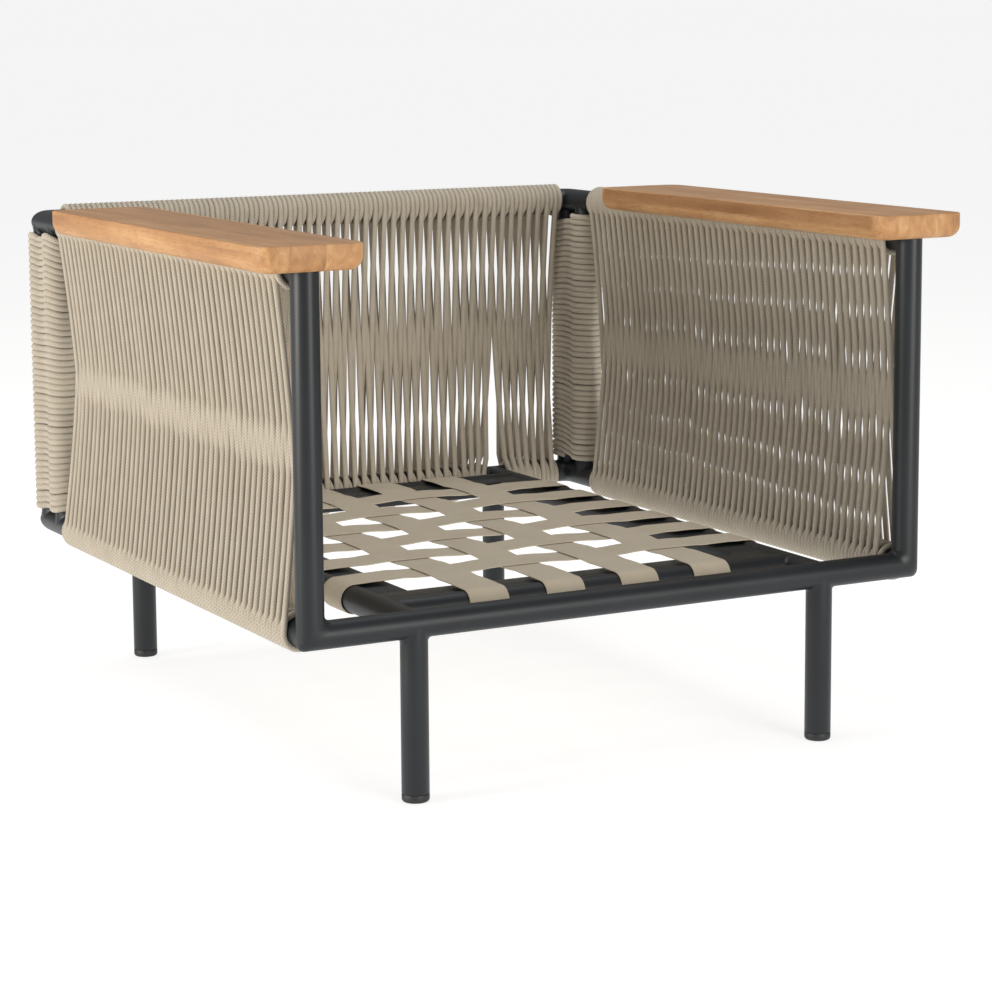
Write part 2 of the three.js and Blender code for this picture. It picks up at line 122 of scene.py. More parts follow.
# Floor: matt pale sheet lit from within, as a light table is, with the faintest mottle.
FLOOR_RADIUS = 60.0
floor_paint, tree = new_material("matt_pale_floor")
where = add(tree, "TexCoord")
mottle = add(tree, "TexNoise", {"Vector": (where, "Object"), "Scale": 3.0, "Detail": 3.0})
shade = add(tree, "ValToRGB", {"Fac": (mottle, "Fac")})
shade.color_ramp.elements[0].color = srgb("A0A09F")
shade.color_ramp.elements[1].color = srgb("A6A6A5")
skin = add(tree, "BsdfPrincipled", {
    "Base Color": (shade, "Color"), "Roughness": 0.9, "Specular IOR Level": 0.2,
    "Emission Color": srgb("FFFFFF"), "Emission Strength": 0.78})
add(tree, "OutputMaterial", {"Surface": (skin, "BSDF")})
bm = bmesh.new()
bmesh.ops.create_circle(bm, cap_ends=True, segments=96, radius=FLOOR_RADIUS)
mesh = bpy.data.meshes.new("floor")
bm.to_mesh(mesh)
bm.free()
mesh.materials.append(floor_paint)
floor = bpy.data.objects.new("floor", mesh)
bpy.context.scene.collection.objects.link(floor)

# ---- Welded frame: front posts, rails and upper ring ------------------------------------------
# Aluminium tube 30 mm across, mitred at the corners, welded and ground smooth, then powder
# coated. One closed run goes up the front posts, back under the armrests and round the back.
X_POST = 0.376
Y_FRONT = -0.390
Y_BACK = 0.390
Z_LOW = 0.191
Z_HIGH = 0.568
TUBE = 0.015  # tube radius
TUBE_SIDES = 48
GRIND = 0.007  # rounding left at a mitred corner
WELD = 0.0055  # leg of a weld fillet
AXES = {"X": Vector((1, 0, 0)), "Y": Vector((0, 1, 0)), "Z": Vector((0, 0, 1))}

# Powder coat, satin charcoal: polyester over metal, so the gloss is a plastic's, broken by a
# fine orange peel about 1.5 mm across. Drawn at 2 mm so that it shows.
powder_coat, tree = new_material("satin_charcoal_powder_coat")
where = add(tree, "TexCoord")
peel = add(tree, "TexNoise", {"Vector": (where, "Object"), "Scale": 500.0, "Detail": 2.0})
cloud = add(tree, "TexNoise", {"Vector": (where, "Object"), "Scale": 9.0, "Detail": 4.0})
shade = add(tree, "ValToRGB", {"Fac": (cloud, "Fac")})
shade.color_ramp.elements[0].position = 0.35
shade.color_ramp.elements[0].color = srgb("15191C")
shade.color_ramp.elements[1].position = 0.68
shade.color_ramp.elements[1].color = srgb("1C2125")
gloss = add(tree, "MapRange", {"Value": (cloud, "Fac"), "To Min": 0.36, "To Max": 0.46})
relief = add(tree, "Bump", {"Height": (peel, "Fac"), "Strength": 0.12, "Distance": 0.0003})
skin = add(tree, "BsdfPrincipled", {
    "Base Color": (shade, "Color"), "Roughness": (gloss, "Result"), "Normal": (relief, "Normal"),
    "IOR": 1.5, "Specular IOR Level": 0.4})
add(tree, "OutputMaterial", {"Surface": (skin, "BSDF")})


def finish_piece(bm, name, material, nodes, sharp=40.0):
    """Makes the bmesh a smooth-shaded piece on the chair's one body, in place of CAD nodes."""
    mesh = bpy.data.meshes.new(name)
    bm.to_mesh(mesh)
    bm.free()
    mesh.materials.append(material)
    mesh.shade_smooth()
    mesh.set_sharp_from_angle(angle=radians(sharp))
    piece = bpy.data.objects.new(name, mesh)
    bpy.context.scene.collection.objects.link(piece)
    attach(piece, "root")
    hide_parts(*nodes)
    return piece


def add_tube(bm, start, end, start_cut=None, end_cut=None):
    """A capped round tube from start to end. A cut is the direction of the run that it is
    mitred to there, and leaves that end open to be merged with it."""
    start, end = Vector(start), Vector(end)
    along = (end - start).normalized()
    first = start - along * (TUBE * 1.5 if start_cut else 0.0)
    last = end + along * (TUBE * 1.5 if end_cut else 0.0)
    turn = along.to_track_quat("Z", "Y" if abs(along.y) < 0.5 else "X").to_matrix().to_4x4()
    made = bmesh.ops.create_cone(
        bm, cap_ends=True, segments=TUBE_SIDES, radius1=TUBE, radius2=TUBE,
        depth=(last - first).length, matrix=Matrix.Translation((first + last) / 2) @ turn)
    geom = made["verts"] + list({e for v in made["verts"] for e in v.link_edges}) + list(
        {f for v in made["verts"] for f in v.link_faces})
    for corner, other, outward in ((start, start_cut, -along), (end, end_cut, along)):
        if other:
            normal = outward + Vector(other)
            cut = bmesh.ops.bisect_plane(
                bm, geom=geom, plane_co=corner, plane_no=normal, clear_outer=True)
            geom = cut["geom"]


def round_mitres(bm, corners):
    """Merges mitred ends and rounds the joints: ground outside, a weld's fillet inside."""
    bmesh.ops.remove_doubles(bm, verts=bm.verts, dist=1e-5)
    for place, first, second in corners:
        normal = (Vector(first) - Vector(second)).normalized()
        joint = [e for e in bm.edges if all(
            abs((v.co - Vector(place)).dot(normal)) < 1e-5
            and (v.co - Vector(place)).length < 2 * TUBE for v in e.verts)]
        bmesh.ops.bevel(bm, geom=joint, offset=GRIND, offset_type="OFFSET", affect="EDGES",
                        segments=5, profile=0.5, material=-1)


bm = bmesh.new()
loop = [(-X_POST, Y_FRONT, Z_LOW), (X_POST, Y_FRONT, Z_LOW), (X_POST, Y_FRONT, Z_HIGH),
        (X_POST, Y_BACK, Z_HIGH), (-X_POST, Y_BACK, Z_HIGH), (-X_POST, Y_FRONT, Z_HIGH)]
runs = [(Vector(loop[(i + 1) % 6]) - Vector(loop[i])).normalized() for i in range(6)]
for i in range(6):
    add_tube(bm, loop[i], loop[(i + 1) % 6], -runs[i - 1], runs[(i + 1) % 6])
round_mitres(bm, [(loop[i], -runs[i - 1], runs[i]) for i in range(6)])
finish_piece(bm, "front_frame_and_upper_ring", powder_coat, [
    "front_left_post", "front_right_post", "front_rail", "left_upper_rail", "right_upper_rail",
    "back_upper_rail"])

# ---- Lower ring -------------------------------------------------------------------------------
# The same tube, running from the front corners back along both sides and across the back, and
# carrying the lower turns of the rope. Its front ends butt against the front posts and rail.


def add_fillet(bm, joint, branch, run):
    """The weld round a tube that joins another of the same size. branch points from the joint
    along the joining tube and run along the tube it stands on. The weld is widest where the two
    surfaces meet at a right angle and dies out where they run into each other."""
    joint, branch, run = Vector(joint), Vector(branch), Vector(run)
    side = branch.cross(run)
    made = bmesh.ops.create_grid(bm, x_segments=7, y_segments=TUBE_SIDES, size=0.5)["verts"]
    columns = sorted({round(v.co.x, 5) for v in made})
    for v in made:
        step = columns.index(round(v.co.x, 5)) / (len(columns) - 1)
        angle = 2 * pi * (v.co.y + 0.5)
        reach = abs(cos(angle))
        seam = joint + run * TUBE * cos(angle) + side * TUBE * sin(angle) + branch * TUBE * reach
        up = seam + branch * WELD * reach
        out = seam + run * WELD * cos(angle)
        buried = joint + (seam - joint) * 0.8
        if step < 0.8:
            t = step / 0.7
            v.co = up * (1 - t) ** 2 + seam * 2 * t * (1 - t) + out * t * t if t <= 1 else out
        else:
            v.co = buried if step < 0.95 else up
    bmesh.ops.remove_doubles(bm, verts=made, dist=1e-6)


bm = bmesh.new()
left, right = -AXES["X"], AXES["X"]
front_left, front_right = (-X_POST, Y_FRONT, Z_LOW), (X_POST, Y_FRONT, Z_LOW)
back_left, back_right = (-X_POST, Y_BACK, Z_LOW), (X_POST, Y_BACK, Z_LOW)
add_tube(bm, front_left, back_left, None, right)
add_tube(bm, back_left, back_right, -AXES["Y"], -AXES["Y"])
add_tube(bm, back_right, front_right, left, None)
round_mitres(bm, [(back_left, -AXES["Y"], right), (back_right, left, -AXES["Y"])])
finish_piece(bm, "lower_ring", powder_coat, [
    "left_lower_rail", "right_lower_rail", "back_lower_rail"])

# ---- Rear corner posts and uprights -----------------------------------------------------------
# Two short tubes in each rear corner, welded between the lower and the upper ring, 51 mm apart,
# so that the corner rope can be wound round the pair. The rope hides all but their ends.
Y_UPRIGHT = 0.339
for side, x in (("left", -X_POST), ("right", X_POST)):
    for name, y in (("corner_post", Y_BACK), ("upright", Y_UPRIGHT)):
        bm = bmesh.new()
        add_tube(bm, (x, y, Z_LOW), (x, y, Z_HIGH))
        add_fillet(bm, (x, y, Z_LOW), AXES["Z"], AXES["Y"])
        add_fillet(bm, (x, y, Z_HIGH), -AXES["Z"], AXES["Y"])
        finish_piece(bm, f"rear_{side}_{name}_tube", powder_coat,
                     [f"rear_{side}_{name}"])

# ---- Legs -------------------------------------------------------------------------------------
# Four short tubes welded under the front and back rails, in line with the seat frame's side
# tubes. The lower ends are cut square and lightly deburred.
X_LEG = 0.257
GLIDE_TOP = 0.009
for end, y in (("front", Y_FRONT), ("rear", Y_BACK)):
    for side, x in (("left", -X_LEG), ("right", X_LEG)):
        bm = bmesh.new()
        add_tube(bm, (x, y, GLIDE_TOP + 0.0003), (x, y, Z_LOW))
        rim = [e for e in bm.edges if all(v.co.z < GLIDE_TOP + 0.001 for v in e.verts)]
        bmesh.ops.bevel(bm, geom=rim, offset=0.0006, offset_type="OFFSET", affect="EDGES",
                        segments=2, profile=0.5, material=-1)
        add_fillet(bm, (x, y, Z_LOW), -AXES["Z"], AXES["X"])
        finish_piece(bm, f"{end}_{side}_leg_tube", powder_coat,
                     [f"{end}_{side}_leg"])

# ---- Glides -----------------------------------------------------------------------------------
# Moulded polyethylene feet pushed into the legs. A collar as wide as the tube shows under each
# leg, with a hair of a gap above it, and its foot is rounded.

# Moulded polyethylene: near-black, dull, with a spark-eroded grain about 0.4 mm across, drawn at
# 1 mm so that it shows.
glide_plastic, tree = new_material("moulded_black_polyethylene")
where = add(tree, "TexCoord")
grain = add(tree, "TexNoise", {"Vector": (where, "Object"), "Scale": 1000.0, "Detail": 2.0})
shade = add(tree, "ValToRGB", {"Fac": (grain, "Fac")})
shade.color_ramp.elements[0].color = srgb("17191A")
shade.color_ramp.elements[1].color = srgb("222526")
relief = add(tree, "Bump", {"Height": (grain, "Fac"), "Strength": 0.3, "Distance": 0.0002})
skin = add(tree, "BsdfPrincipled", {
    "Base Color": (shade, "Color"), "Roughness": 0.55, "Normal": (relief, "Normal"), "IOR": 1.51})
add(tree, "OutputMaterial", {"Surface": (skin, "BSDF")})

GLIDE_PROFILE = [
    (0.0, 0.0), (0.0118, 0.0), (0.0132, 0.0004), (0.0143, 0.0013), (0.0149, 0.0026),
    (0.015, 0.004), (0.015, 0.0084), (0.0147, GLIDE_TOP), (0.0127, GLIDE_TOP),
    (0.0127, 0.0235), (0.012, 0.025), (0.0, 0.025)]


def spun(bm, profile, x, y, steps=TUBE_SIDES):
    """A solid turned from a profile of (radius, height) about an upright line through x, y."""
    verts = [bm.verts.new((r, 0.0, z)) for r, z in profile]
    edges = [bm.edges.new(pair) for pair in zip(verts, verts[1:])]
    bmesh.ops.spin(bm, geom=verts + edges, axis=(0, 0, 1), cent=(0, 0, 0), angle=2 * pi,
                   steps=steps, use_merge=True)
    bmesh.ops.remove_doubles(bm, verts=bm.verts, dist=1e-6)
    bmesh.ops.recalc_face_normals(bm, faces=bm.faces)
    bmesh.ops.translate(bm, vec=(x, y, 0.0), verts=bm.verts)


for end, y in (("front", Y_FRONT), ("rear", Y_BACK)):
    for side, x in (("left", -X_LEG), ("right", X_LEG)):
        bm = bmesh.new()
        spun(bm, GLIDE_PROFILE, x, y)
        finish_piece(bm, f"{end}_{side}_moulded_glide", glide_plastic,
                     [f"{end}_{side}_glide"], sharp=30.0)

# ---- Seat frame -------------------------------------------------------------------------------
# Two side tubes from the front rail to the back rail and two cross tubes between them, each with
# a flat hollow bar welded along its inner side, which the webbing's ends are fixed under.
Y_SEAT = 0.330  # cross tubes, either side of the middle
BAR_REACH = 0.047  # from a tube's centre line to its bar's inner edge
BAR_TOP = Z_LOW + 0.012
BAR_BOTTOM = Z_LOW - 0.006


def add_bar(bm, low, high):
    """A bar with eased edges."""
    low, high = Vector(low), Vector(high)
    size = Matrix.Diagonal((*(high - low), 1.0))
    made = bmesh.ops.create_cube(bm, size=1.0, matrix=Matrix.Translation((low + high) / 2) @ size)
    edges = list({e for v in made["verts"] for e in v.link_edges})
    bmesh.ops.bevel(bm, geom=edges, offset=0.0012, offset_type="OFFSET", affect="EDGES",
                    segments=2, profile=0.5, material=-1)


for side, x in (("left", -X_LEG), ("right", X_LEG)):
    inner = x * (X_LEG - BAR_REACH) / X_LEG
    bm = bmesh.new()
    add_tube(bm, (x, Y_FRONT, Z_LOW), (x, Y_BACK, Z_LOW))
    add_bar(bm, (min(x, inner), BAR_REACH - Y_SEAT, BAR_BOTTOM),
            (max(x, inner), Y_SEAT - BAR_REACH, BAR_TOP))
    add_fillet(bm, (x, Y_FRONT, Z_LOW), AXES["Y"], AXES["X"])
    add_fillet(bm, (x, Y_BACK, Z_LOW), -AXES["Y"], AXES["X"])
    finish_piece(bm, f"seat_{side}_tube_and_bar", powder_coat,
                 [f"seat_{side}_rail"])
for end, y in (("front", -Y_SEAT), ("rear", Y_SEAT)):
    inner = y * (Y_SEAT - BAR_REACH) / Y_SEAT
    bm = bmesh.new()
    add_tube(bm, (-X_LEG, y, Z_LOW), (X_LEG, y, Z_LOW))
    add_bar(bm, (-X_LEG, min(y, inner), BAR_BOTTOM), (X_LEG, max(y, inner), BAR_TOP))
    add_fillet(bm, (-X_LEG, y, Z_LOW), AXES["X"], AXES["Y"])
    add_fillet(bm, (X_LEG, y, Z_LOW), -AXES["X"], AXES["Y"])
    finish_piece(bm, f"seat_{end}_tube_and_bar", powder_coat,
                 [f"seat_{end}_rail"])

# ---- Seat webbing -----------------------------------------------------------------------------
# Elastic upholstery webbing, rubber threads woven into polyester, 48 mm wide. Four straps run
# front to back and six side to side, over and under in turn, and turn under the seat tubes.
STRAP_HALF_WIDTH = 0.024
STRAP_HALF_THICK = 0.00075
STRAP_LIFT = 0.0010  # height of the middle of an upper strap above the weave's own middle
WEAVE_Z = Z_LOW + 0.0171
TURN_RADIUS = 0.01640  # of a strap's middle round a tube
LONG_X = (-0.1425, -0.0475, 0.0475, 0.1425)
CROSS_Y = (-0.2215, -0.133, -0.0445, 0.0445, 0.133, 0.2215)

# Woven webbing: ribs run along the strap every 1.9 mm and picks cross it every 1.3 mm, in real
# webbing about half that, drawn coarser so that they show. Dull, with a little sheen from the
# filament yarn.
webbing_cloth, tree = new_material("sand_elastic_webbing")
lay = add(tree, "UVMap", uv_map="UVMap")
axes = add(tree, "SeparateXYZ", {"Vector": (lay, "UV")})
rib_turn = add(tree, "Math", {0: (axes, "X"), 1: 2 * pi / 0.0019}, operation="MULTIPLY")
rib = add(tree, "Math", {0: (rib_turn, "Value")}, operation="SINE")
pick_turn = add(tree, "Math", {0: (axes, "Y"), 1: 2 * pi / 0.0026}, operation="MULTIPLY")
pick_sine = add(tree, "Math", {0: (pick_turn, "Value")}, operation="SINE")
pick = add(tree, "Math", {0: (pick_sine, "Value"), 1: (rib, "Value")}, operation="MULTIPLY")
rough = add(tree, "Math", {0: (pick, "Value"), 1: 0.6, 2: (rib, "Value")},
            operation="MULTIPLY_ADD")
fuzz = add(tree, "TexNoise", {"Vector": (lay, "UV"), "Scale": 900.0, "Detail": 3.0})
woven = add(tree, "Math", {0: (fuzz, "Fac"), 1: 1.3, 2: (rough, "Value")},
            operation="MULTIPLY_ADD")
blotch = add(tree, "TexNoise", {"Vector": (lay, "UV"), "Scale": 28.0, "Detail": 3.0})
tone = add(tree, "Math", {0: (blotch, "Fac"), 1: 1.1, 2: (woven, "Value")},
           operation="MULTIPLY_ADD")
spread = add(tree, "MapRange", {"Value": (tone, "Value"), "From Min": -0.8, "From Max": 3.0})
shade = add(tree, "ValToRGB", {"Fac": (spread, "Result")})
shade.color_ramp.elements[0].color = srgb("9C907C")
shade.color_ramp.elements[1].color = srgb("C9BEA9")
relief = add(tree, "Bump", {"Height": (woven, "Value"), "Strength": 0.5, "Distance": 0.00025})
skin = add(tree, "BsdfPrincipled", {
    "Base Color": (shade, "Color"), "Roughness": 0.85, "Normal": (relief, "Normal"),
    "Sheen Weight": 0.15, "Sheen Roughness": 0.5, "Specular IOR Level": 0.3})
add(tree, "OutputMaterial", {"Surface": (skin, "BSDF")})


def swept(name, path, across, half_width, half_thick, sides, corner, material, nodes):
    """A flat strap or a rope swept along a path. across is the direction its width lies in,
    corner its section's squareness, from 1 for an ellipse to 0 for a rectangle. The UV map holds
    the distance round the section and along the path, in metres."""
    path = np.asarray(path, float)
    count = len(path)
    half_width = np.broadcast_to(half_width, count)[:, None, None]
    half_thick = np.broadcast_to(half_thick, count)[:, None, None]
    ahead = np.gradient(path, axis=0)
    ahead /= np.linalg.norm(ahead, axis=1)[:, None]
    wide = np.broadcast_to(np.asarray(across, float), path.shape)
    wide = wide - ahead * np.sum(wide * ahead, axis=1)[:, None]
    wide /= np.linalg.norm(wide, axis=1)[:, None]
    thick = np.cross(ahead, wide)
    angle = np.linspace(0, 2 * pi, sides + 1)
    out = (np.sign(np.cos(angle)) * np.abs(np.cos(angle)) ** corner)[None, :, None]
    up = (np.sign(np.sin(angle)) * np.abs(np.sin(angle)) ** max(corner, 0.35))[None, :, None]
    place = path[:, None, :] + wide[:, None, :] * half_width * out
    place = place + thick[:, None, :] * half_thick * up
    run = np.concatenate(([0.0], np.cumsum(np.linalg.norm(np.diff(path, axis=0), axis=1))))
    flat = np.broadcast_to(half_width, place.shape[:2] + (1,))[:, :, 0] * out[:, :, 0]
    arc = np.broadcast_to(np.mean(half_width) * angle, flat.shape)
    bm = bmesh.new()
    bm.loops.layers.uv.new("UVMap")
    bmesh.ops.create_grid(bm, x_segments=sides, y_segments=count - 1, size=0.5, calc_uvs=True)
    mesh = bpy.data.meshes.new(name)
    bm.to_mesh(mesh)
    bm.free()
    grid = np.zeros(len(mesh.vertices) * 3)
    mesh.vertices.foreach_get("co", grid)
    grid = grid.reshape(-1, 3)
    i = np.rint((grid[:, 0] + 0.5) * sides).astype(int)
    j = np.rint((grid[:, 1] + 0.5) * (count - 1)).astype(int)
    mesh.vertices.foreach_set("co", place[j, i].ravel())
    corners = np.zeros(len(mesh.loops), int)
    mesh.loops.foreach_get("vertex_index", corners)
    round_it = flat if corner < 0.9 else arc
    pairs = np.stack((round_it[j, i][corners], run[j][corners]), axis=1)
    mesh.uv_layers["UVMap"].data.foreach_set("uv", pairs.ravel())
    bm = bmesh.new()
    bm.from_mesh(mesh)
    bpy.data.meshes.remove(mesh)
    bmesh.ops.remove_doubles(bm, verts=bm.verts, dist=1e-7)
    ends = [e for e in bm.edges if e.is_boundary]
    bmesh.ops.holes_fill(bm, edges=ends, sides=0)
    if sum(f.calc_area() * f.normal.dot(f.calc_center_median() - Vector(path[0]))
           for f in bm.faces if f.index < sides) < 0:
        bmesh.ops.reverse_faces(bm, faces=bm.faces)
    return finish_piece(bm, name, material, nodes, sharp=70.0)


def strap_path(span, crossings, first_up):
    """Points along a strap, as (distance from the middle, height). It comes up round one seat
    tube, weaves over and under at the crossings, and goes down round the other tube."""
    turns = [radians(a) for a in range(205, 0, -9)]
    start = [(-span - TURN_RADIUS * sin(a), Z_LOW + TURN_RADIUS * cos(a)) for a in turns]
    tail = (start[0][0] + 0.014 * cos(radians(25)), start[0][1] + 0.014 * sin(radians(25)))
    pitch = crossings[1] - crossings[0]
    middle = []
    reach = span - 0.001
    for step in range(97):
        place = -reach + 2 * reach * step / 96
        wave = cos(pi * (place - crossings[0]) / pitch)
        outside = max(0.0, abs(place) - (crossings[-1] + 0.5 * pitch))
        height = STRAP_LIFT * (1 if first_up else -1) * tanh(2.4 * wave) / tanh(2.4)
        fade = exp(-(outside / 0.012) ** 2)
        settle = min(1.0, (reach - abs(place)) / 0.03)
        ease = settle * settle * (3 - 2 * settle)
        low = Z_LOW + TURN_RADIUS
        middle.append((place, low + (WEAVE_Z - low + height * fade) * ease))
    return [tail] + start + middle + [(-u, z) for u, z in reversed([tail] + start)]


for number, x in enumerate(LONG_X):
    path = [(x, u, z) for u, z in strap_path(Y_SEAT, CROSS_Y, number % 2 == 0)]
    swept(f"long_webbing_strap_{number + 1}", path, (1, 0, 0), STRAP_HALF_WIDTH,
          STRAP_HALF_THICK, 28, 0.22, webbing_cloth, [f"long_strap_{number + 1}"])
for number, y in enumerate(CROSS_Y):
    path = [(u, y, z) for u, z in strap_path(X_LEG, LONG_X, number % 2 == 1)]
    swept(f"cross_webbing_strap_{number + 1}", path, (0, 1, 0), STRAP_HALF_WIDTH,
          STRAP_HALF_THICK, 28, 0.22, webbing_cloth, [f"cross_strap_{number + 1}"])

# ---- Rope walls -------------------------------------------------------------------------------
# Braided polyester rope, 7 to 8 mm across, one length for each wall. It goes round the upper
# rail one and a half times, crosses down to the other side of the lower rail, goes round that
# one and a half times and crosses back, so each rail is closed by its rings and the two layers
# of strands pass between each other half way down.
ROPE = 0.0074  # natural diameter
RING_CENTRE = TUBE + 0.5 * 0.0070
STRAND_HALF_WIDTH = 0.0040  # a taut strand lies a little flat
STRAND_HALF_THICK = 0.0031
CROSSING_HALF_WIDTH = 0.0039
RING_HALF_THICK = 0.0035

# Braided polyester: matt sand yarns in a diamond braid, drawn as six diamonds round the rope and
# 3.6 mm long, coarser than a real sixteen-end braid so that it shows, with paler and darker yarns.
BRAID_ROUND = 6
BRAID_LENGTH = 0.0036
rope_braid, tree = new_material("sand_braided_polyester_rope")
lay = add(tree, "UVMap", uv_map="UVMap")
axes = add(tree, "SeparateXYZ", {"Vector": (lay, "UV")})
around = add(tree, "Math", {0: (axes, "X"), 1: BRAID_ROUND / ROPE}, operation="MULTIPLY")
along = add(tree, "Math", {0: (axes, "Y"), 1: pi / BRAID_LENGTH}, operation="MULTIPLY")
left_lay = add(tree, "Math", {0: (around, "Value"), 1: (along, "Value")}, operation="ADD")
right_lay = add(tree, "Math", {0: (around, "Value"), 1: (along, "Value")}, operation="SUBTRACT")
left_sine = add(tree, "Math", {0: (left_lay, "Value")}, operation="SINE")
right_sine = add(tree, "Math", {0: (right_lay, "Value")}, operation="SINE")
left_yarn = add(tree, "Math", {0: (left_sine, "Value")}, operation="ABSOLUTE")
right_yarn = add(tree, "Math", {0: (right_sine, "Value")}, operation="ABSOLUTE")
stitch = add(tree, "Math", {0: (left_yarn, "Value"), 1: (right_yarn, "Value")},
             operation="MULTIPLY")
where = add(tree, "TexCoord")
fibre = add(tree, "TexNoise", {"Vector": (where, "Object"), "Scale": 1400.0, "Detail": 2.0})
drift = add(tree, "TexNoise", {"Vector": (where, "Object"), "Scale": 45.0, "Detail": 4.0})
mixed = add(tree, "Math", {0: (fibre, "Fac"), 1: 0.45, 2: (stitch, "Value")},
            operation="MULTIPLY_ADD")
tone = add(tree, "Math", {0: (drift, "Fac"), 1: 0.55, 2: (mixed, "Value")},
           operation="MULTIPLY_ADD")
spread = add(tree, "MapRange", {"Value": (tone, "Value"), "From Min": 0.3, "From Max": 1.65})
shade = add(tree, "ValToRGB", {"Fac": (spread, "Result")})
shade.color_ramp.elements[0].color = srgb("A09584")
shade.color_ramp.elements[1].color = srgb("CFC6B5")
relief = add(tree, "Bump", {"Height": (mixed, "Value"), "Strength": 0.7, "Distance": 0.0006})
skin = add(tree, "BsdfPrincipled", {
    "Base Color": (shade, "Color"), "Roughness": 0.9, "Normal": (relief, "Normal"),
    "Sheen Weight": 0.2, "Sheen Roughness": 0.5, "Specular IOR Level": 0.25})
add(tree, "OutputMaterial", {"Surface": (skin, "BSDF")})

RING_STEP = 18  # degrees between points round a rail
STRAND_POINTS = 13
PULL_DECAY = 0.042  # reach of the drawing in of the end strands half way down


def wound_wall(name, low, high, turns, way, place, nodes, pull, keep_clear, seed):
    """One wall's rope. low and high are its ends along the rails and way the direction it was
    wound in. place turns (along, outward, height) into a point. pull is how far the first and
    last strands are drawn in half way down. Where a leg stands on the lower rail, at keep_clear,
    the rings there are pushed to either side of it."""
    chance = np.random.default_rng(seed)
    pitch = (high - low) / (turns + 0.25)
    path, half_width, half_thick = [], [], []

    def aside(s):
        for centre in keep_clear:
            off = s - centre
            if abs(off) < LEG_SPREAD:
                gap = LEG_CLEAR + abs(off) * (1 - LEG_CLEAR / LEG_SPREAD)
                return centre + (gap if off > 0 else -gap)
        return s

    def ring(s, height, over):
        """Half past one turn round a rail, from its outer side to its inner side."""
        wander = chance.normal(0.0, 0.00025)
        steps = 540 // RING_STEP
        for k in range(steps + 1):
            angle = radians(k * RING_STEP)
            at = s + 0.75 * pitch * k / steps + wander * sin(pi * k / steps)
            if height == Z_LOW:
                at = aside(at)
            path.append((at, RING_CENTRE * cos(angle), height + over * RING_CENTRE * sin(angle)))
            half_width.append(0.25 * pitch + 0.0001)
            half_thick.append(RING_HALF_THICK)

    def strand(s0, s1, going_down):
        """A strand from one rail's inner side to the other rail's outer side. Below the
        crossing, it leans away from a leg."""
        bow = chance.normal(0.0, 0.0007)
        for k in range(1, STRAND_POINTS):
            f = k / STRAND_POINTS
            s = s0 + (s1 - s0) * f
            drop = 0.55 * (max(0.0, (f if going_down else 1 - f) - 0.42) / 0.58) ** 1.3
            s += (aside(s) - s) * drop
            draw = pull[0] * exp(-(s - low) / PULL_DECAY) - pull[1] * exp(-(high - s) / PULL_DECAY)
            s += (draw + bow) * sin(pi * f)
            height = Z_HIGH + (Z_LOW - Z_HIGH) * (f if going_down else 1 - f)
            closeness = exp(-((f - 0.5) / 0.16) ** 2)
            end = min(1.0, min(f, 1 - f) * 9)
            off = 2 * f - 1
            path.append((s, RING_CENTRE * off * abs(off) ** 0.25, height))
            wide = STRAND_HALF_WIDTH + (CROSSING_HALF_WIDTH - STRAND_HALF_WIDTH) * closeness
            half_width.append(0.25 * pitch + (wide - 0.25 * pitch) * end)
            half_thick.append(RING_HALF_THICK + (STRAND_HALF_THICK - RING_HALF_THICK) * end)

    for turn in range(turns):
        top = low + turn * pitch
        ring(top, Z_HIGH, 1)
        strand(top + 0.75 * pitch, top + 0.5 * pitch, True)
        ring(top + 0.5 * pitch, Z_LOW, -1)
        if turn < turns - 1:
            strand(top + 1.25 * pitch, top + pitch, False)
    if way < 0:
        path = [(low + high - s, u, z) for s, u, z in path]
    points = [place(s, u, z) for s, u, z in path]
    across = Vector(place(1, 0, 0)) - Vector(place(0, 0, 0))
    return swept(name, points, across, half_width, half_thick, 12, 1.0, rope_braid,
                 nodes)


LEG_CLEAR = 0.0185
LEG_SPREAD = 0.050
SIDE_ROPE = (Y_FRONT + 0.0190, Y_BACK - 0.0865)
BACK_ROPE = 0.3570
wound_wall("back_wound_rope", -BACK_ROPE, BACK_ROPE, 52, -1,
           lambda s, u, z: (s, Y_BACK + u, z), ["back_rope_wall"], (0.0025, 0.0025),
           (-X_LEG, X_LEG), 11)
wound_wall("left_wound_rope", *SIDE_ROPE, 46, 1,
           lambda s, u, z: (-X_POST - u, s, z), ["left_rope_wall"], (0.0, 0.008), (), 12)
wound_wall("right_wound_rope", *SIDE_ROPE, 49, -1,
           lambda s, u, z: (X_POST + u, s, z), ["right_rope_wall"], (0.002, 0.0), (), 13)

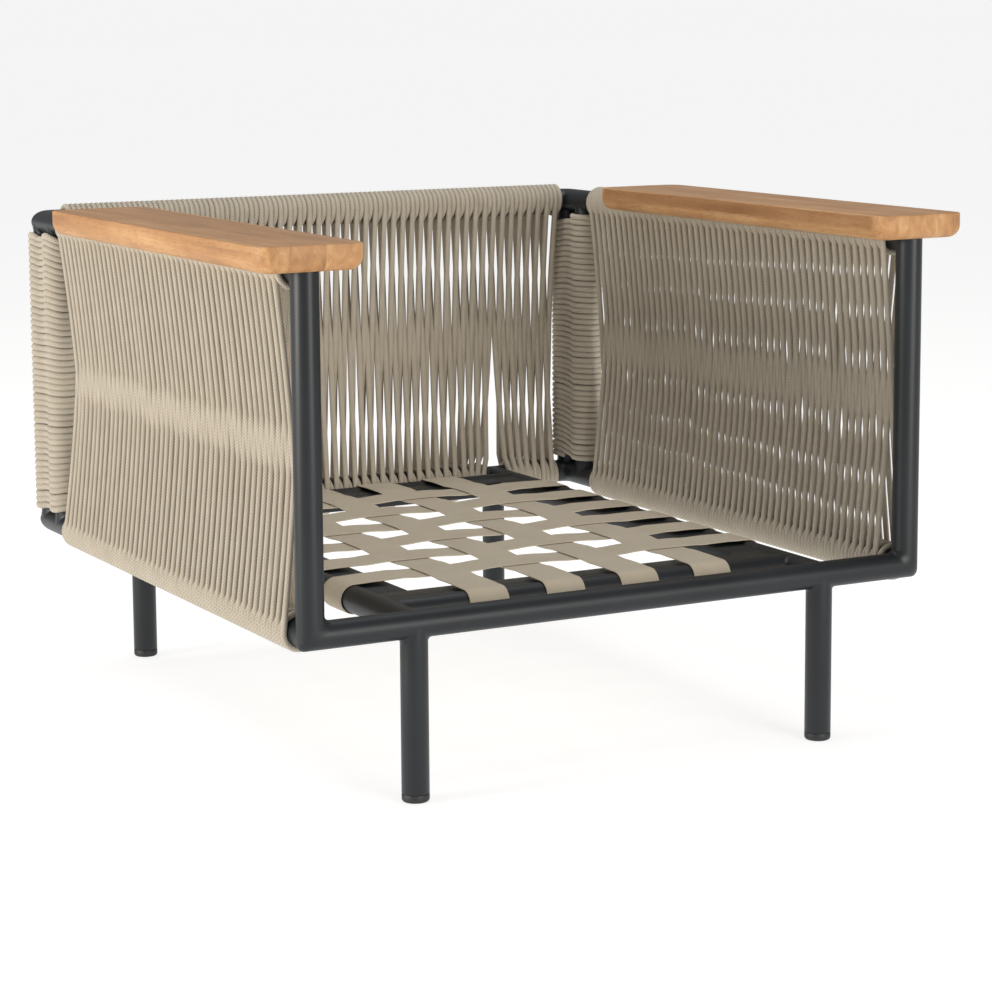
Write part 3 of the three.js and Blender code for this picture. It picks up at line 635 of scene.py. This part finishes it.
# ---- Rear corner ropes ------------------------------------------------------------------------
# The same rope in figures of eight round each corner post and the upright ahead of it, row on
# row, so that the pair reads as two columns with a seam of crossing strands between them.
ROWS = 45
ROWS_OUTSIDE = (Z_LOW + 0.0175, Z_HIGH - 0.0110)  # lowest and highest row on the outer side
ROWS_INSIDE = (Z_LOW + 0.0205, Z_HIGH - 0.0195)  # and under the rails
ROWS_DRAWN_IN = 0.0060  # further in beside the back's rope
CORNER_RING_CENTRE = TUBE + 0.0035
for side, x, sign in (("left", -X_POST, -1), ("right", X_POST, 1)):
    gap = Y_BACK - Y_UPRIGHT
    cross = radians(90.0) - np.arcsin(2 * CORNER_RING_CENTRE / gap)
    bend = pi + 2 * (pi / 2 - cross)
    path, half_width, half_thick = [], [], []
    chance = np.random.default_rng(21)
    for row in range(ROWS):
        wander = chance.normal(0.0, 0.00025)
        for half, (middle, facing) in enumerate(((Y_BACK, 1), (Y_UPRIGHT, -1))):
            for k in range(17):
                angle = -bend / 2 + bend * k / 16
                climb = (row + 0.5 * half + 0.30 * k / 16) / (ROWS - 0.2)
                outward = max(0.0, facing * sin(angle)) ** 2
                drawn_in = ROWS_DRAWN_IN * max(0.0, -sin(angle)) ** 2 * (facing > 0)
                low, high = [a + (b - a) * outward for a, b in zip(ROWS_INSIDE, ROWS_OUTSIDE)]
                low, high = low + drawn_in, high - drawn_in
                path.append((x + sign * facing * CORNER_RING_CENTRE * sin(angle),
                             middle + facing * CORNER_RING_CENTRE * cos(angle),
                             low + (high - low) * climb + wander))
                half_width.append(0.0037 + 0.0004 * outward)
                half_thick.append(0.0035)
    swept(f"rear_{side}_corner_wound_rope", path, (0, 0, 1), half_width, half_thick, 12, 1.0,
          rope_braid, [f"rear_{side}_corner_rope"])

# ---- Armrests ---------------------------------------------------------------------------------
# Two boards glued up from teak staves about 40 mm wide and sanded, with nearly sharp upper edges,
# rounded corners and a wide round under the edge. A channel underneath sits over the roped rail.
ARM_TOP = 0.596
ARM_BOTTOM = 0.568
ARM_HALF_WIDTH = 0.060
ARM_FRONT = Y_FRONT - 0.028
ARM_REAR = Y_FRONT + 0.598
ARM_CORNER = 0.020
ARM_UNDER_ROUND = 0.014
ARM_TOP_EASE = 0.0012
ROPED_CHANNEL = TUBE + 0.0076
BARE_CHANNEL = TUBE + 0.0006

# Teak, sanded and oiled: honey to brown, straight grain along the board in bands about 11 mm
# wide, darker pores 0.7 mm across and 18 mm long, drawn coarse so that they show, and staves
# that differ a little in tone. The upper face is painted a greyer tone, a painted reflection of
# the sky on it rather than a colour of the wood.
STAVES_PER_METRE = 25.0
STAVE_OFFSET = 0.1  # in staves, from the chair's middle
teak, tree = new_material("sanded_oiled_teak")
where = add(tree, "TexCoord")
axes = add(tree, "SeparateXYZ", {"Vector": (where, "Object")})
stave_count = add(tree, "Math", {0: (axes, "X"), 1: STAVES_PER_METRE, 2: STAVE_OFFSET},
                  operation="MULTIPLY_ADD")
stave = add(tree, "Math", {0: (stave_count, "Value")}, operation="FLOOR")
stave_tone = add(tree, "TexWhiteNoise", {"W": (stave, "Value")}, noise_dimensions="1D")
shift = add(tree, "CombineXYZ", {"X": (stave, "Value"), "Y": (stave, "Value")})
moved = add(tree, "VectorMath", {0: (where, "Object"), 1: (shift, "Vector")}, operation="ADD")
band_lay = add(tree, "Mapping", {"Vector": (moved, "Vector"), "Scale": (90.0, 3.2, 60.0)})
band = add(tree, "TexNoise", {"Vector": (band_lay, "Vector"), "Scale": 1.0, "Detail": 5.0,
                              "Roughness": 0.55, "Distortion": 0.6})
cloud_lay = add(tree, "Mapping", {"Vector": (moved, "Vector"), "Scale": (14.0, 9.0, 14.0)})
cloud = add(tree, "TexNoise", {"Vector": (cloud_lay, "Vector"), "Scale": 1.0, "Detail": 3.0})
pore_lay = add(tree, "Mapping", {"Vector": (moved, "Vector"), "Scale": (1500.0, 55.0, 1500.0)})
pore = add(tree, "TexNoise", {"Vector": (pore_lay, "Vector"), "Scale": 1.0, "Detail": 2.0})
pores = add(tree, "MapRange", {"Value": (pore, "Fac"), "From Min": 0.56, "From Max": 0.74})
figure = add(tree, "Math", {0: (band, "Fac"), 1: 1.5, 2: (cloud, "Fac")},
             operation="MULTIPLY_ADD")
toned = add(tree, "Math", {0: (stave_tone, "Value"), 1: 0.30, 2: (figure, "Value")},
            operation="MULTIPLY_ADD")
spread = add(tree, "MapRange", {"Value": (toned, "Value"), "From Min": 0.85, "From Max": 1.95})
shade = add(tree, "ValToRGB", {"Fac": (spread, "Result")})
shade.color_ramp.elements[0].color = srgb("936741")
shade.color_ramp.elements[1].color = srgb("D6AC7B")
middle = shade.color_ramp.elements.new(0.5)
middle.color = srgb("B98A5B")
porous = add(tree, "MixRGB", {"Fac": (pores, "Result"), "Color1": (shade, "Color"),
                              "Color2": srgb("8A5A30")}, blend_type="MIX")
seam_place = add(tree, "Math", {0: (stave_count, "Value")}, operation="FRACT")
seam_side = add(tree, "Math", {0: (seam_place, "Value"), 1: 0.5}, operation="SUBTRACT")
seam_off = add(tree, "Math", {0: (seam_side, "Value")}, operation="ABSOLUTE")
seam = add(tree, "MapRange", {"Value": (seam_off, "Value"), "From Min": 0.488, "From Max": 0.5,
                              "To Min": 0.0, "To Max": 0.35})
jointed = add(tree, "MixRGB", {"Fac": (seam, "Result"), "Color1": (porous, "Color"),
                               "Color2": srgb("7A4E2A")}, blend_type="MIX")
# Painted reflection: faces that look up are mixed towards a greyer tone, standing in for the sky's
# sheen on the top.
facing = add(tree, "SeparateXYZ", {"Vector": (where, "Normal")})
upper = add(tree, "MapRange", {"Value": (facing, "Z"), "From Min": 0.9, "To Max": 0.3})
painted_sky_reflection = add(tree, "MixRGB", {"Fac": (upper, "Result"), "Color1": (jointed, "Color"),
                            "Color2": srgb("B08C70")}, blend_type="MIX")
wood_gloss = add(tree, "MapRange", {"Value": (band, "Fac"), "To Min": 0.48, "To Max": 0.64})
height = add(tree, "Math", {0: (pores, "Result"), 1: -1.0, 2: (band, "Fac")},
             operation="MULTIPLY_ADD")
relief = add(tree, "Bump", {"Height": (height, "Value"), "Strength": 0.25, "Distance": 0.0002})
skin = add(tree, "BsdfPrincipled", {
    "Base Color": (painted_sky_reflection, "Color"), "Roughness": (wood_gloss, "Result"),
    "Normal": (relief, "Normal"), "IOR": 1.5, "Specular IOR Level": 0.4})
add(tree, "OutputMaterial", {"Surface": (skin, "BSDF")})


def carve(piece, cutter_mesh, name):
    """Cuts a closed mesh out of a piece for good."""
    cutter = bpy.data.objects.new(name, cutter_mesh)
    bpy.context.scene.collection.objects.link(cutter)
    cut = piece.modifiers.new(name, "BOOLEAN")
    cut.operation = "DIFFERENCE"
    cut.solver = "EXACT"
    cut.object = cutter
    bpy.context.view_layer.update()
    carved = piece.evaluated_get(bpy.context.evaluated_depsgraph_get())
    mesh = bpy.data.meshes.new_from_object(carved)
    piece.modifiers.clear()
    piece.data = mesh
    bpy.data.objects.remove(cutter)


def lying_rod(bm, radius, x, low, high, z):
    """A rod along Y."""
    turn = Matrix.Rotation(radians(90), 4, "X")
    place = Matrix.Translation((x, (low + high) / 2, z))
    bmesh.ops.create_cone(bm, cap_ends=True, segments=TUBE_SIDES, radius1=radius, radius2=radius,
                          depth=high - low, matrix=place @ turn)


for side, x in (("left", -X_POST), ("right", X_POST)):
    bm = bmesh.new()
    size = (2 * ARM_HALF_WIDTH, ARM_REAR - ARM_FRONT, ARM_TOP - ARM_BOTTOM, 1.0)
    centre = (x, (ARM_FRONT + ARM_REAR) / 2, (ARM_TOP + ARM_BOTTOM) / 2)
    bmesh.ops.create_cube(bm, size=1.0, matrix=Matrix.Translation(centre) @ Matrix.Diagonal(size))
    for level, offset, segments in (
            (None, ARM_CORNER, 9), (ARM_BOTTOM, ARM_UNDER_ROUND, 7), (ARM_TOP, ARM_TOP_EASE, 3)):
        if level is None:
            edges = [e for e in bm.edges if abs(e.verts[0].co.z - e.verts[1].co.z) > 0.01]
        else:
            edges = [e for e in bm.edges
                     if all(abs(v.co.z - level) < 1e-6 for v in e.verts)
                     and any(abs(f.normal.z) < 0.5 for f in e.link_faces)]
        bmesh.ops.bevel(bm, geom=edges, offset=offset, offset_type="OFFSET", affect="EDGES",
                        segments=segments, profile=0.5, material=-1)
    board = finish_piece(bm, f"{side}_teak_armrest", teak, [f"{side}_armrest"], sharp=50.0)
    roped_from = SIDE_ROPE[0] - 0.0045
    for name, radius, low, high in (
            ("roped_channel", ROPED_CHANNEL, roped_from, ARM_REAR + 0.01),
            ("bare_channel", BARE_CHANNEL, Y_FRONT - TUBE, roped_from + 0.001)):
        cutter = bmesh.new()
        lying_rod(cutter, radius, x, low, high, Z_HIGH)
        mesh = bpy.data.meshes.new(name)
        cutter.to_mesh(mesh)
        cutter.free()
        carve(board, mesh, name)

# ---- Armrest screws ---------------------------------------------------------------------------
# Three stainless screws for each armrest go up through the rail's upper wall into the teak. They
# sit inside the rail and the wood, so the CAD's own shapes are kept.

# Stainless steel, cold-headed and tumbled: bright grey with fine random scratches.
stainless, tree = new_material("tumbled_stainless_steel")
where = add(tree, "TexCoord")
scratch = add(tree, "TexNoise", {"Vector": (where, "Object"), "Scale": 1800.0, "Detail": 4.0})
shade = add(tree, "ValToRGB", {"Fac": (scratch, "Fac")})
shade.color_ramp.elements[0].color = srgb("8E9092")
shade.color_ramp.elements[1].color = srgb("B4B6B8")
gloss = add(tree, "MapRange", {"Value": (scratch, "Fac"), "To Min": 0.25, "To Max": 0.42})
skin = add(tree, "BsdfPrincipled", {
    "Base Color": (shade, "Color"), "Metallic": 1.0, "Roughness": (gloss, "Result")})
add(tree, "OutputMaterial", {"Surface": (skin, "BSDF")})
for side in ("left", "right"):
    for number in (1, 2, 3):
        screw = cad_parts[f"{side}_armrest_screw_{number}"]
        screw.material_slots[0].material = stainless
